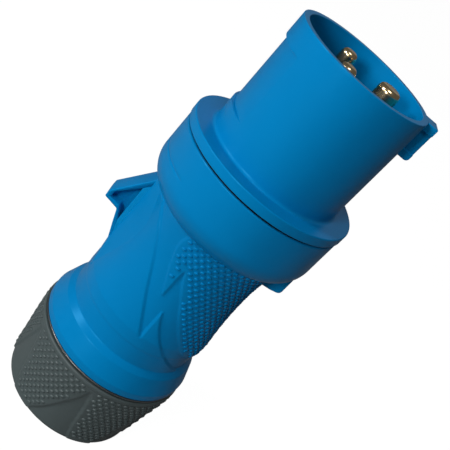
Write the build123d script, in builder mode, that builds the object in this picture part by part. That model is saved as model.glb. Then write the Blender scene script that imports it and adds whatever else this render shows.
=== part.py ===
from build123d import *
from math import cos, radians, sin
import os

os.makedirs("parts", exist_ok=True)

# Industrial pin and sleeve plug, 16 A, 2 pole + earth, in millimetres.
# The plug stands on the rear face of its gland nut. +Z runs along the axis to the mouth of the sleeve,
# +X points to the key (six o'clock), and the origin is on the axis in the plane that the nut stands on.

# Lengths along the axis, from the nut's rear face up to the mouth
nut_length = 27.1
gasket_gap = 0.15
gasket_thickness = 1.15
handle_length = 76.2
seal_thickness = 0.7
flange_thickness = 3.1
sleeve_length = 37.6

# Clearances
loose_gap = 0.3
close_gap = 0.1

# Sleeve and key
sleeve_r = 22.0
sleeve_wall = 2.0
sleeve_root_chamfer = 0.9
collar_step = 6.0
flange_step = 0.3
flange_edge_chamfer = 0.4
key_width = 6.0
key_reach = 3.4
key_length = 12.0
key_end_block = 2.5
key_side_step = 0.5
key_heel_round = 1.2
catch_depth = 0.8
catch_top = 7.3
catch_length = 22.5
catch_half_angle = 40.0
seal_inset = 0.7
skirt_wall = 2.0
skirt_length = 7.1
ledge_reach = 1.6
ledge_thickness = 1.5
ledge_drop = 1.0

# Bayonet between sleeve and handle
bayonet_count = 3
bayonet_first = 53.0
bayonet_angle = 14.0
bayonet_turn = 26.0
bayonet_reach = 1.0
bayonet_height = 2.0
bayonet_lift = 0.5
bayonet_slack = 1.0

# Pins and terminals
pin_circle_ratio = 0.45
earth_pin_r = 3.5
line_pin_r = 2.5
earth_tip_inset = 0.2
line_tip_inset = 1.6
tip_round = 1.3
tip_bevel = 0.38
pin_seat_step = 0.5
earth_head_r = 4.7
line_head_r = 4.2
head_length = 13.2
wire_hole_r = 1.9
wire_hole_depth = 9.0
screw_r = 1.6
screw_head_r = 2.5
screw_head_height = 1.8
screw_slot_width = 0.7
screw_slot_depth = 0.9
screw_from_end = 4.5
guard_thickness = 0.3
guard_width = 2.0
guard_length = 7.0
guard_lift = 1.2

# Contact carrier
carrier_face_drop = 0.4
carrier_flange_thickness = 2.9
carrier_front_thickness = 4.3
carrier_body_step = 3.2
ring_height = 2.3
ring_width = 2.8
back_plate_thickness = 2.0
wire_port_r = 2.3

# Handle
collar_wall = 3.1
collar_straight = 12.1
collar_round = 8.45
barrel_step = 0.1
barrel_ratio = 0.728
neck_step = 0.5
neck_drop = 20.3
waist_step = 1.8
waist_ratio = 0.428
barrel_end_step = 0.2
barrel_end = 10.8
foot_step = 4.1
foot_straight = 2.6
foot_shoulder_step = 2.1
foot_shoulder = 8.5
housing_wall = 2.0
relief_step = 0.45
pad_step = 0.35
spigot_step = 4.6
spigot_wall = 4.0
spigot_length = 17.9
cage_seat = 6.4
cage_seat_wall = 6.1
chamber_low = 6.0
bore_overlap = 1.0

# Outlines of the grip seen from the side. Each point is a pair of shares: its distance from the axis or, for
# the lug, from the neck, over the barrel's radius, and its depth below the collar's top edge over the handle's length
label_edge_ratios = [(-0.855, 0.282), (-0.670, 0.362), (-0.294, 0.538), (0.072, 0.732)]
label_sweep_ratios = [(0.072, 0.598), (0.290, 0.696), (0.466, 0.760), (0.738, 0.837), (1.041, 0.879)]
pad_corner_ratios = [(-0.226, 0.210), (-0.335, 0.278), (-0.357, 0.328), (-0.326, 0.375), (-0.231, 0.441), (-0.072, 0.537)]
pad_sweep_ratios = [(-0.072, 0.402), (0.213, 0.546), (0.475, 0.648), (0.647, 0.710), (0.833, 0.772), (1.041, 0.807)]
lug_ratios = [(0.000, 0.172), (0.471, 0.441), (0.471, 0.474), (0.235, 0.488), (0.181, 0.537), (0.027, 0.657)]
pocket_ratios = [(0.145, 0.349), (0.398, 0.434), (0.403, 0.462), (0.226, 0.470), (0.140, 0.518)]
ridge_ratios = [(0.072, 0.172), (0.072, 0.625), (0.032, 0.690)]

# Lugs of the handle, and the ridge that carries the upper one
lug_width = 8.0
lug_pocket_depth = 2.6
ridge_flank_angle = 38.0
fin_width = 6.0
fin_inset = 0.4
fin_drop = 27.2
fin_round = 1.6
fin_undercut = 1.0

# Gland
nut_lip = 0.5
nut_belly_step = 0.4
nut_belly = 22.0
nut_rear_step = 2.6
nut_rear_chamfer = 1.4
nut_thread_gap = 0.9
nut_bore_depth = 17.3
nut_rear_wall = 4.6
nut_cavity_step = 3.5
cable_entry_r = 9.5
nut_fin_count = 6
nut_fin_first = -87.0
nut_fin_depth = 0.5
nut_fin_reach = 9.0
nut_fin_outline = [(0.0, 24.3), (-0.8, 19.4), (-2.9, 15.6), (-5.8, 9.6), (-11.6, -0.5), (6.3, -0.5), (2.4, 14.2)]
gasket_width = 3.9
thrust_height = 2.3
thrust_gap = 0.4
thrust_bore_step = 0.7
cage_wall = 4.5
cage_ring_height = 6.8
finger_count = 10
finger_gap = 1.6
finger_wall = 3.0
grommet_wall = 5.2

# Heights and radii worked out from the values above
foot_z = nut_length + gasket_gap + gasket_thickness
collar_top_z = foot_z + handle_length
flange_rear_z = collar_top_z + seal_thickness
flange_front_z = flange_rear_z + flange_thickness
mouth_z = flange_front_z + sleeve_length
sleeve_bore_r = sleeve_r - sleeve_wall
pin_circle_r = pin_circle_ratio * sleeve_bore_r
collar_r = sleeve_r + collar_step
flange_r = collar_r + flange_step
collar_bore_r = collar_r - collar_wall
skirt_r = collar_bore_r - loose_gap
skirt_bore_r = skirt_r - skirt_wall
ledge_r = sleeve_bore_r - ledge_reach
carrier_body_r = skirt_bore_r - carrier_body_step
skirt_end_z = flange_rear_z - skirt_length
ledge_top_z = flange_front_z - ledge_drop
ledge_under_z = ledge_top_z - ledge_thickness
bayonet_z = skirt_end_z + bayonet_lift
bayonet_r = skirt_r + bayonet_reach
carrier_face_z = flange_front_z - carrier_face_drop
carrier_flange_z = ledge_under_z - close_gap - carrier_flange_thickness
head_front_z = carrier_face_z - carrier_front_thickness
head_rear_z = head_front_z - head_length
carrier_rear_z = head_rear_z - guard_thickness - close_gap
screw_z = head_rear_z + screw_from_end
screw_window = 2 * (screw_head_r + loose_gap)
collar_round_z = collar_top_z - collar_straight
neck_z = collar_top_z - neck_drop
waist_z = collar_top_z - waist_ratio * handle_length
barrel_z = collar_top_z - barrel_ratio * handle_length
barrel_end_z = foot_z + barrel_end
barrel_r = sleeve_r + barrel_step
neck_r = barrel_r - neck_step
waist_r = barrel_r - waist_step
barrel_end_r = barrel_r - barrel_end_step
foot_r = barrel_r + foot_step
foot_shoulder_r = foot_r - foot_shoulder_step
fin_r = collar_r - fin_inset
neck_bore_r = waist_r - housing_wall
spigot_r = foot_r - spigot_step
spigot_end_z = foot_z - spigot_length
spigot_bore_r = spigot_r - spigot_wall
cage_seat_z = foot_z - cage_seat
cage_seat_r = spigot_r - cage_seat_wall
nut_front_r = foot_r + nut_lip
nut_belly_r = nut_front_r - nut_belly_step
nut_rear_r = nut_front_r - nut_rear_step
nut_bore_r = spigot_r + nut_thread_gap
nut_cavity_r = nut_bore_r - nut_cavity_step
thrust_r = nut_cavity_r - thrust_gap
thrust_bore_r = cable_entry_r + thrust_bore_step
thrust_z = nut_rear_wall + loose_gap
finger_end_z = thrust_z + thrust_height + loose_gap
cage_r = spigot_bore_r - loose_gap
cage_bore_r = cage_r - cage_wall
grommet_r = cage_bore_r - close_gap
grommet_bore_r = grommet_r - grommet_wall


def turned(points):
    """A solid of revolution about the plug's axis from a closed outline of (radius, height) points."""
    with BuildPart() as body:
        with BuildSketch(Plane.XZ):
            with BuildLine():
                Polyline(*points, close=True)
            make_face()
        revolve(axis=Axis.Z)
    return body.part


def side_prism(points, width):
    """A prism centred on the plane of axis and key, from an outline of (x, z) points in that plane."""
    with BuildPart() as body:
        with BuildSketch(Plane.XZ):
            with BuildLine():
                Polyline(*points, close=True)
            make_face()
        extrude(amount=width / 2, both=True)
    return body.part


def sectors(count, first, angle, inner_r, outer_r):
    """Equal sectors of a ring, drawn into the open sketch: the first one starts at an angle."""
    reach = 2 * outer_r
    with PolarLocations(0, count, first):
        Polygon((0, 0), (reach, 0), (reach * cos(radians(angle)), reach * sin(radians(angle))), align=None)
    Circle(outer_r, mode=Mode.INTERSECT)
    Circle(inner_r, mode=Mode.SUBTRACT)


def circles_at(part, radius, height):
    """The circular edges of a part that have a given radius and height."""
    edges = part.edges().filter_by(GeomType.CIRCLE)
    return edges.filter_by(lambda e: abs(e.radius - radius) < 1e-3 and abs(e.center().Z - height) < 1e-3)


def finish(part, name):
    """Names a finished piece and writes it."""
    part.label = name
    export_step(part, f"parts/{name}.step")


# Sleeve with key, catch recess, flange and the bayonet skirt that enters the handle
sleeve_points = [
    (sleeve_bore_r, mouth_z), (sleeve_r, mouth_z), (sleeve_r, flange_front_z), (flange_r, flange_front_z),
    (flange_r, flange_rear_z), (skirt_r, flange_rear_z), (skirt_r, skirt_end_z), (skirt_bore_r, skirt_end_z),
    (skirt_bore_r, ledge_under_z), (ledge_r, ledge_under_z), (ledge_r, ledge_top_z),
    (sleeve_bore_r, ledge_top_z),
]

# The recess for a lid's catch is bounded by a larger circle that meets the sleeve at the recess's two sides
catch_floor = sleeve_r - catch_depth
catch_side_x = sleeve_r * cos(radians(catch_half_angle))
catch_shift = (sleeve_r**2 - catch_floor**2) / (2 * (catch_floor - catch_side_x))
key_outer_x = sleeve_r + key_reach
key_heel_z = mouth_z - key_length

with BuildPart() as shroud:
    add(turned(sleeve_points))
    chamfer(circles_at(shroud, sleeve_r, flange_front_z), length=sleeve_root_chamfer)
    chamfer(circles_at(shroud, flange_r, flange_front_z), length=flange_edge_chamfer)
    with BuildSketch(Plane.XY.offset(mouth_z - catch_top)):
        with Locations((-sleeve_r, 0)):
            Rectangle(sleeve_r, 3 * sleeve_r)
        with Locations((catch_shift, 0)):
            Circle(catch_floor + catch_shift, mode=Mode.SUBTRACT)
    extrude(amount=-catch_length, mode=Mode.SUBTRACT)
    with BuildSketch(Plane.XY.offset(key_heel_z)):
        with Locations((sleeve_bore_r + sleeve_wall / 4, 0)):
            Rectangle(key_outer_x - sleeve_bore_r - sleeve_wall / 4, key_width, align=(Align.MIN, Align.CENTER))
    extrude(amount=key_length)
    heel_edge = shroud.edges().filter_by(Axis.Y).sort_by(Axis.X)[-2:].sort_by(Axis.Z)[0]
    fillet(heel_edge, radius=key_heel_round)
    with BuildSketch(Plane.XY.offset(key_heel_z + key_end_block)):
        for side in (-1, 1):
            with Locations((key_outer_x, side * key_width / 2)):
                Rectangle(2 * key_reach, 2 * key_side_step)
        Circle(sleeve_r, mode=Mode.SUBTRACT)
    extrude(amount=key_length - 2 * key_end_block, mode=Mode.SUBTRACT)
    with BuildSketch(Plane.XY.offset(bayonet_z)):
        sectors(bayonet_count, bayonet_first, bayonet_angle, skirt_r - skirt_wall / 4, bayonet_r)
    extrude(amount=bayonet_height)
finish(shroud.part, "shroud")

# Black sealing ring in the seam between flange and handle collar
with BuildPart() as front_seal:
    with BuildSketch(Plane.XY.offset(collar_top_z)):
        Circle(collar_r - seal_inset)
        Circle(collar_bore_r + close_gap, mode=Mode.SUBTRACT)
    extrude(amount=seal_thickness)
finish(front_seal.part, "front_seal")


# Pins, one piece each with its terminal head: the earth pin is in line with the key
def contact_pin(angle, pin_r, head_r, tip_z):
    """A turned pin on a thicker shank, with a wire hole in its rear end and a screw hole towards the outside."""
    seat = Plane(origin=(pin_circle_r * cos(radians(angle)), pin_circle_r * sin(radians(angle)), 0),
                 x_dir=(cos(radians(angle)), sin(radians(angle)), 0), z_dir=(0, 0, 1))
    profile = Plane(origin=seat.origin, x_dir=seat.x_dir, z_dir=seat.x_dir.cross(Vector(0, 0, 1)))
    with BuildPart() as pin:
        with BuildSketch(profile):
            with BuildLine():
                Polyline((0, tip_z), (pin_r - tip_round, tip_z), (pin_r - tip_bevel, tip_z - tip_bevel),
                         (pin_r, tip_z - tip_round),
                         (pin_r, carrier_face_z), (pin_r + pin_seat_step, carrier_face_z),
                         (pin_r + pin_seat_step, head_front_z), (head_r, head_front_z),
                         (head_r, head_rear_z), (0, head_rear_z), close=True)
            make_face()
        revolve(axis=Axis(seat.origin, (0, 0, 1)))
        with Locations(Plane(origin=seat.origin + Vector(0, 0, head_rear_z), z_dir=(0, 0, -1))):
            Hole(wire_hole_r, depth=wire_hole_depth)
        with BuildSketch(Plane(origin=seat.origin + Vector(0, 0, screw_z), z_dir=seat.x_dir)):
            Circle(screw_r + close_gap)
        extrude(amount=head_r, mode=Mode.SUBTRACT)
    return pin


def terminal_screw(angle, head_r):
    """A slotted screw that points at the pin's wire hole, its head against the terminal head."""
    outward = Vector(cos(radians(angle)), sin(radians(angle)), 0)
    foot = outward * (pin_circle_r + guard_lift + guard_thickness + close_gap) + Vector(0, 0, screw_z)
    shank = head_r - guard_lift - guard_thickness - close_gap + loose_gap
    with BuildPart() as screw:
        with BuildSketch(Plane(origin=foot, z_dir=outward)):
            Circle(screw_r)
        extrude(amount=shank)
        with BuildSketch(Plane(origin=foot + outward * shank, z_dir=outward)):
            Circle(screw_head_r)
        extrude(amount=screw_head_height)
        top = Plane(origin=foot + outward * (shank + screw_head_height), x_dir=(0, 0, 1), z_dir=outward)
        with BuildSketch(top):
            Rectangle(3 * screw_head_r, screw_slot_width)
        extrude(amount=-screw_slot_depth, mode=Mode.SUBTRACT)
    return screw


def wire_guard(angle):
    """A thin leaf inside the wire hole under the screw, with a tab that hooks over the terminal's end."""
    outward = Vector(cos(radians(angle)), sin(radians(angle)), 0)
    low_z = head_rear_z - guard_thickness
    leaf_r = pin_circle_r + guard_lift
    side = Plane(origin=(0, 0, 0), x_dir=outward, z_dir=outward.cross(Vector(0, 0, 1)))
    with BuildPart() as guard:
        with BuildSketch(side):
            with BuildLine():
                Polyline((leaf_r, low_z), (leaf_r + wire_hole_r, low_z), (leaf_r + wire_hole_r, head_rear_z),
                         (leaf_r + guard_thickness, head_rear_z),
                         (leaf_r + guard_thickness, low_z + guard_length), (leaf_r, low_z + guard_length),
                         close=True)
            make_face()
        extrude(amount=guard_width / 2, both=True)
    return guard


contacts = {
    "earth": (0, earth_pin_r, earth_head_r, mouth_z - earth_tip_inset),
    "line": (120, line_pin_r, line_head_r, mouth_z - line_tip_inset),
    "neutral": (240, line_pin_r, line_head_r, mouth_z - line_tip_inset),
}
for pole, (angle, pin_r, head_r, tip_z) in contacts.items():
    finish(contact_pin(angle, pin_r, head_r, tip_z).part, f"{pole}_pin")
    finish(terminal_screw(angle, head_r).part, f"{pole}_screw")
    finish(wire_guard(angle).part, f"{pole}_wire_guard")

# Moulded body that holds the pins: its shoulder bears on the sleeve's inner ledge
with BuildPart() as contact_carrier:
    add(turned([
        (0, carrier_face_z), (ledge_r - close_gap, carrier_face_z),
        (ledge_r - close_gap, ledge_under_z - close_gap), (skirt_bore_r - close_gap, ledge_under_z - close_gap),
        (skirt_bore_r - close_gap, carrier_flange_z), (carrier_body_r, carrier_flange_z),
        (carrier_body_r, carrier_rear_z), (0, carrier_rear_z),
    ]))
    for pole, (angle, pin_r, head_r, tip_z) in contacts.items():
        outward = Vector(cos(radians(angle)), sin(radians(angle)), 0)
        with BuildSketch(Plane(origin=outward * pin_circle_r + Vector(0, 0, carrier_rear_z))):
            Circle(pin_r + pin_seat_step + close_gap)
        extrude(amount=carrier_face_z - carrier_rear_z, mode=Mode.SUBTRACT)
        with BuildSketch(Plane(origin=outward * pin_circle_r + Vector(0, 0, carrier_rear_z))):
            Circle(head_r + close_gap)
        extrude(amount=head_front_z - carrier_rear_z, mode=Mode.SUBTRACT)
        with BuildSketch(Plane(origin=outward * pin_circle_r + Vector(0, 0, screw_z), z_dir=outward)):
            Rectangle(screw_window, screw_window)
        extrude(amount=carrier_body_r, mode=Mode.SUBTRACT)
finish(contact_carrier.part, "contact_carrier")

# Ring pressed into the skirt: it holds the carrier up against the ledge
ring_r = skirt_bore_r - close_gap
with BuildPart() as carrier_ring:
    with BuildSketch(Plane.XY.offset(carrier_flange_z - close_gap)):
        Circle(ring_r)
        Circle(ring_r - ring_width, mode=Mode.SUBTRACT)
    extrude(amount=-ring_height)
finish(carrier_ring.part, "carrier_ring")

# Plate behind the terminals, with a port for each wire
with BuildPart() as carrier_back:
    with BuildSketch(Plane.XY.offset(carrier_rear_z - close_gap)):
        Circle(carrier_body_r - loose_gap)
        with PolarLocations(pin_circle_r, len(contacts)):
            Circle(wire_port_r, mode=Mode.SUBTRACT)
    extrude(amount=-back_plate_thickness)
finish(carrier_back.part, "carrier_back")


# Handle: turned housing, stepped relief on both sides, two lugs and the spigot for the nut
def barrel_curve(step):
    """The grip's outline from the neck over the waist to its lower end, raised by a relief step."""
    Line((neck_r + step, neck_z), (waist_r + step, waist_z))
    RadiusArc((waist_r + step, waist_z), (barrel_r + step, barrel_z), barrel_bend)
    Line((barrel_r + step, barrel_z), (barrel_end_r + step, barrel_end_z))


def grip_outline(ratios, start=0):
    """An outline of shares as points (x, z). The first share is counted from a given distance to the axis."""
    side = -1 if start else 1
    return [(side * (start + x * barrel_r), collar_top_z - drop * handle_length) for x, drop in ratios]


def relief_layer(outline, step):
    """A raised layer of the grip, cut to an outline seen from the side, the same on both sides."""
    with BuildPart() as layer:
        with BuildSketch(Plane.XZ):
            with BuildLine():
                Polyline((0, collar_round_z), (neck_r + step, collar_round_z), (neck_r + step, neck_z))
                barrel_curve(step)
                Polyline((barrel_end_r + step, barrel_end_z), (barrel_end_r + step, foot_z + foot_straight),
                         (0, foot_z + foot_straight), (0, collar_round_z))
            make_face()
        revolve(axis=Axis.Z)
        with BuildSketch(Plane.XZ):
            with BuildLine():
                Polyline(*outline, close=True)
            make_face()
        extrude(amount=collar_r, both=True, mode=Mode.INTERSECT)
    return layer.part


# The arc from waist to barrel leaves the waist parallel to the axis
barrel_rise = barrel_r - waist_r
barrel_bend = (barrel_rise**2 + (waist_z - barrel_z)**2) / (2 * barrel_rise)
side_reach = 2 * collar_r
label_edge = grip_outline(label_edge_ratios)
label_sweep = grip_outline(label_sweep_ratios)
label_plate = [(-side_reach, label_edge[0][1])] + label_edge + label_sweep + [
    (side_reach, label_sweep[-1][1]), (side_reach, foot_z), (-side_reach, foot_z)]
pad_corner = grip_outline(pad_corner_ratios)
pad_sweep = grip_outline(pad_sweep_ratios)
grip_pad = pad_corner + pad_sweep + [(side_reach, pad_sweep[-1][1]), (side_reach, pad_corner[0][1])]

# Twelve o'clock lug: a wedge behind the collar with a nose. Six o'clock: a short fin
lug_edge = grip_outline(lug_ratios, neck_r)
lug_points = [(-neck_bore_r, lug_edge[0][1])] + lug_edge + [(-neck_bore_r, lug_edge[-1][1])]
fin_points = [
    (neck_bore_r, collar_round_z), (fin_r, collar_round_z), (fin_r, collar_top_z - fin_drop),
    (neck_bore_r, collar_top_z - fin_drop - fin_undercut),
]

# The ridge under the lug is as wide as the lug, and its flanks run down to the waist
ridge_edge = grip_outline(ridge_ratios, neck_r)
ridge_x = ridge_edge[0][0]
flank_r = waist_r + relief_step
flank_x = -flank_r * cos(radians(ridge_flank_angle))
flank_y = flank_r * sin(radians(ridge_flank_angle))
with BuildPart() as ridge:
    with BuildSketch(Plane.XY.offset(foot_z)):
        Polygon((0, 0), (flank_x, flank_y), (ridge_x, lug_width / 2), (ridge_x, -lug_width / 2),
                (flank_x, -flank_y), align=None)
    extrude(amount=handle_length)
    ridge_side = [(-neck_bore_r, ridge_edge[0][1])] + ridge_edge + [(-neck_bore_r, ridge_edge[-1][1])]
    add(side_prism(ridge_side, side_reach), mode=Mode.INTERSECT)

# The hollow from the collar's mouth to the spigot's end: it holds the carrier, the wires and the cable seal
bore_points = [
    (0, collar_top_z + bore_overlap), (collar_bore_r, collar_top_z + bore_overlap),
    (collar_bore_r, collar_round_z - housing_wall), (neck_bore_r, neck_z),
    (neck_bore_r, foot_z + chamber_low), (cage_seat_r, foot_z),
    (cage_seat_r, cage_seat_z), (spigot_bore_r, cage_seat_z), (spigot_bore_r, spigot_end_z - bore_overlap),
    (0, spigot_end_z - bore_overlap),
]

with BuildPart() as handle:
    with BuildSketch(Plane.XZ):
        with BuildLine():
            Line((collar_r, collar_top_z), (collar_r, collar_round_z))
            RadiusArc((collar_r, collar_round_z), (neck_r, neck_z), collar_round)
            barrel_curve(0)
            Polyline((barrel_end_r, barrel_end_z), (foot_shoulder_r, foot_z + foot_shoulder),
                     (foot_r, foot_z + foot_straight), (foot_r, foot_z), (spigot_r, foot_z), (spigot_r, spigot_end_z),
                     (0, spigot_end_z), (0, collar_top_z), (collar_r, collar_top_z))
        make_face()
    revolve(axis=Axis.Z)
    add(relief_layer(label_plate, relief_step))
    add(relief_layer(grip_pad, pad_step))
    add(ridge.part)
    add(side_prism(lug_points, lug_width))
    add(side_prism(fin_points, fin_width))
    fin_edge = handle.edges().filter_by(Axis.Y).sort_by(Axis.X)[-1]
    fillet(fin_edge, radius=fin_round)
    add(turned(bore_points), mode=Mode.SUBTRACT)
    for side in (-1, 1):
        pocket_plane = Plane.XZ.offset(-side * (lug_width / 2 - lug_pocket_depth))
        with BuildSketch(pocket_plane):
            with BuildLine():
                Polyline(*grip_outline(pocket_ratios, neck_r), close=True)
            make_face()
        extrude(amount=-side * lug_width, mode=Mode.SUBTRACT)
    slot_z = bayonet_z - loose_gap
    slot_r = bayonet_r + loose_gap
    slot_first = bayonet_first - bayonet_slack
    slot_angle = bayonet_angle + 2 * bayonet_slack
    with BuildSketch(Plane.XY.offset(slot_z)):
        sectors(bayonet_count, slot_first + bayonet_turn, slot_angle, skirt_r, slot_r)
    extrude(amount=collar_top_z - slot_z, mode=Mode.SUBTRACT)
    with BuildSketch(Plane.XY.offset(slot_z)):
        sectors(bayonet_count, slot_first, bayonet_turn + slot_angle, skirt_r, slot_r)
    extrude(amount=bayonet_height + 2 * loose_gap, mode=Mode.SUBTRACT)
finish(handle.part, "handle")

# Black gasket behind the handle's foot
with BuildPart() as flange_gasket:
    with BuildSketch(Plane.XY.offset(foot_z - gasket_thickness)):
        Circle(spigot_r + close_gap + gasket_width)
        Circle(spigot_r + close_gap, mode=Mode.SUBTRACT)
    extrude(amount=gasket_thickness)
finish(flange_gasket.part, "flange_gasket")

# Strain relief: a ring seated in the spigot, with fingers round the cable seal
with BuildPart() as clamp_cage:
    with BuildSketch(Plane.XY.offset(cage_seat_z)):
        Circle(cage_r)
        Circle(cage_bore_r, mode=Mode.SUBTRACT)
    extrude(amount=-cage_ring_height)
    with BuildSketch(Plane.XY.offset(finger_end_z)):
        Circle(cage_bore_r + finger_wall)
        Circle(cage_bore_r, mode=Mode.SUBTRACT)
        with PolarLocations(0, finger_count):
            Rectangle(2 * cage_r, finger_gap, align=(Align.MIN, Align.CENTER), mode=Mode.SUBTRACT)
    extrude(amount=cage_seat_z - cage_ring_height - finger_end_z)
finish(clamp_cage.part, "clamp_cage")

# Rubber cable seal inside the cage
with BuildPart() as cable_grommet:
    with BuildSketch(Plane.XY.offset(finger_end_z)):
        Circle(grommet_r)
        Circle(grommet_bore_r, mode=Mode.SUBTRACT)
    extrude(amount=cage_seat_z - finger_end_z)
finish(cable_grommet.part, "cable_grommet")

# Slip ring between the nut's rear wall and the fingers
with BuildPart() as thrust_ring:
    with BuildSketch(Plane.XY.offset(thrust_z)):
        Circle(thrust_r)
        Circle(thrust_bore_r, mode=Mode.SUBTRACT)
    extrude(amount=thrust_height)
finish(thrust_ring.part, "thrust_ring")


# Gland nut with six sunk fins between its grip faces
def nut_outline(sunk):
    """The nut's outer wall from the front edge to the rear face, sunk by a depth."""
    return [
        (nut_front_r - sunk, nut_length), (nut_belly_r - sunk, nut_belly),
        (nut_rear_r - sunk, nut_rear_chamfer), (nut_rear_r - nut_rear_chamfer - sunk, 0),
    ]


with BuildPart() as fin_prism:
    with BuildSketch(Plane.YZ.offset(nut_front_r - nut_fin_reach)):
        with BuildLine():
            Polyline(*nut_fin_outline, close=True)
        make_face()
    extrude(amount=nut_fin_reach + bore_overlap)

with BuildPart() as nut_fins:
    with PolarLocations(0, nut_fin_count, nut_fin_first):
        add(fin_prism.part)
    add(turned([(0, nut_length)] + nut_outline(nut_fin_depth) + [(0, 0)]), mode=Mode.SUBTRACT)

with BuildPart() as gland_nut:
    add(turned(nut_outline(0) + [
        (cable_entry_r, 0), (cable_entry_r, nut_rear_wall), (nut_cavity_r, nut_rear_wall),
        (nut_cavity_r, nut_length - nut_bore_depth), (nut_bore_r, nut_length - nut_bore_depth),
        (nut_bore_r, nut_length),
    ]))
    add(nut_fins.part, mode=Mode.SUBTRACT)
finish(gland_nut.part, "gland_nut")
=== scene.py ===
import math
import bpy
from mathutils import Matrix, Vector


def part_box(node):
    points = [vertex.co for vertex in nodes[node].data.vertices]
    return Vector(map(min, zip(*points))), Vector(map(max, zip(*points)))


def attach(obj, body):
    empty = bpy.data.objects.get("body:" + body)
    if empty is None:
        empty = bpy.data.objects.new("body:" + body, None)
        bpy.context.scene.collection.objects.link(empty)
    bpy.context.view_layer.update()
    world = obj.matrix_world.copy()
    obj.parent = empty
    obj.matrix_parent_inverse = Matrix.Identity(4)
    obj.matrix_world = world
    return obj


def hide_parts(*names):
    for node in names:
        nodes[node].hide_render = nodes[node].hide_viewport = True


bl_info = {
    "name": "Pin and sleeve plug",
    "version": (1, 0, 0),
    "blender": (4, 5, 0),
    "location": "View3D > Sidebar > Plug",
    "description": "Builds the visible surfaces of an industrial pin and sleeve plug on its CAD frame",
    "category": "Object",
}

import bpy
import numpy as np
from bpy.props import FloatProperty, FloatVectorProperty, IntProperty, PointerProperty
from mathutils import Matrix

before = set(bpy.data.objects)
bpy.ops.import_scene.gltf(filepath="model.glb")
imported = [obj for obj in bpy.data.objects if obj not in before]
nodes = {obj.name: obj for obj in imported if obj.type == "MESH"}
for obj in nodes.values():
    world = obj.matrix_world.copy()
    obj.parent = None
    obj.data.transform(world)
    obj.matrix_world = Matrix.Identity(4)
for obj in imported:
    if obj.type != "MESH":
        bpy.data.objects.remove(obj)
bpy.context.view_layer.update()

MM = 0.001


def top_of(node):
    """The height of a CAD node's upper end, in millimetres."""
    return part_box(node)[1].z / MM


def foot_of(node):
    """The height of a CAD node's lower end, in millimetres."""
    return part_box(node)[0].z / MM


# Heights along the axis that come from the CAD frame, in millimetres
MOUTH = top_of("shroud")
COLLAR_TOP = top_of("handle")
SPIGOT_END = foot_of("handle")
FOOT = top_of("flange_gasket")
NUT_FRONT = top_of("gland_nut")
SEAL_TOP = top_of("front_seal")
FLANGE_FRONT = SEAL_TOP + 3.1
SKIRT_END = foot_of("shroud")

# Radii of the turned forms, in millimetres
SLEEVE_R, SLEEVE_BORE, FLANGE_R = 22.0, 20.0, 28.3
COLLAR_R, NECK_R, WAIST_R, BARREL_R = 28.0, 21.6, 20.3, 22.0
SPIGOT_R, NUT_BORE = 21.6, 22.5
THREAD_PITCH = 4.0

# The grip's relief on one side: azimuth from the key in degrees, height in millimetres
LABEL_PLATE = [
    (182, 83.1), (151, 83.1), (135, 77), (120, 69.5), (110, 63.2), (100, 57), (87, 48.6), (86.5, 59.5),
    (80, 54.8), (75, 52), (70, 49.7), (65, 47.7), (60, 45.9), (50, 43), (40, 40.6), (30, 38.8), (15, 37.5),
    (-2, 37.2), (-2, 24), (182, 24),
]
GRIP_PAD = [
    (-2, 94), (103, 94), (105.5, 88.5), (107.5, 86.5), (111.8, 82.8), (113.4, 80.2), (112.4, 77.2), (107, 72),
    (101, 67.3), (95.3, 63.3), (95.3, 74.4), (90, 70.6), (85, 67.5), (80, 64.6), (75, 61.6), (70, 58.7),
    (65, 56.2), (60, 53.8), (55, 51.6), (50, 49.7), (45, 48), (40, 46.6), (33, 45), (20, 43.6), (-2, 43.1),
]

# Radius of the cylinder that the outlines above are drawn on, in millimetres
RELIEF_R = 21.5

# Heights on the grip: waist, neck, upper end of the barrel, end of the ridge, in millimetres
WAIST_Z, NECK_Z, BARREL_Z, RIDGE_END = 72.0, 84.3, 41, 88

# Fine groove round the catch side of the collar: height, half width, depth, and the azimuth it starts at
GROOVE_Z, GROOVE_HALF, GROOVE_DEPTH, GROOVE_FROM = 95.2, 0.25, 0.2, 132

# One sunk fin of the gland nut: distance round the nut and height, both in millimetres
NUT_FIN = [
    (0, 24.3), (-0.7, 21.5), (-1.5, 19), (-2.4, 16.8), (-3.6, 14.7), (-4.9, 11.8), (-5.8, 10), (-7.6, 6.5),
    (-8.9, 4.5), (-10.2, 3), (-12.6, -1), (6.1, -1), (4.9, 2.5), (3.8, 7), (3.1, 10.5), (2.7, 13), (2, 17),
    (1.3, 20), (0.7, 23.2),
]
NUT_FIN_R = 25.5
NUT_FIN_FIRST = -87.0
NUT_FINS = 6

# Grip dots: height of the first row, distance between rows in millimetres and between columns in degrees
PAD_DOTS = (86.6, 1.5, 6.5)
NUT_DOTS = (24.9, 1.57, 5.2)

# Outline of the twelve o'clock lug and of its side pockets: x, z, round, in millimetres
LUG = [
    (-19.5, 85.6, 0.2), (-21.4, 85.6, 0.2), (-31.9, 70.9, 0.7), (-32.0, 68.5, 0.6), (-26.9, 67.4, 0.8),
    (-25.6, 63.7, 1.5), (-22.6, 55.5, 3), (-19.5, 53, 0.5),
]
LUG_POCKET = [
    (-24.75, 78.1, 0.02), (-24.85, 78.0, 0.02), (-30.4, 71.55, 0.3), (-30.4, 69.4, 0.3), (-26.8, 68.8, 0.4),
    (-24.75, 65.1, 0.02), (-24.65, 65.0, 0.02), (-24.6, 65.3, 0.02),
]
FIN = [(19.5, 90, 0.2), (27.4, 90, 0.2), (27.6, 78.0, 1.7), (24.5, 77.2, 3), (19.5, 76.6, 0.2)]

# Ridge under the lug: its top's distance from the axis at three heights, and its flanks' radius and azimuth
RIDGE_TOP = ([47, 57, 92], [22.3, 23.2, 23.2])
FLANK_R, FLANK_TURN = 20.75, math.radians(38)

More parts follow.
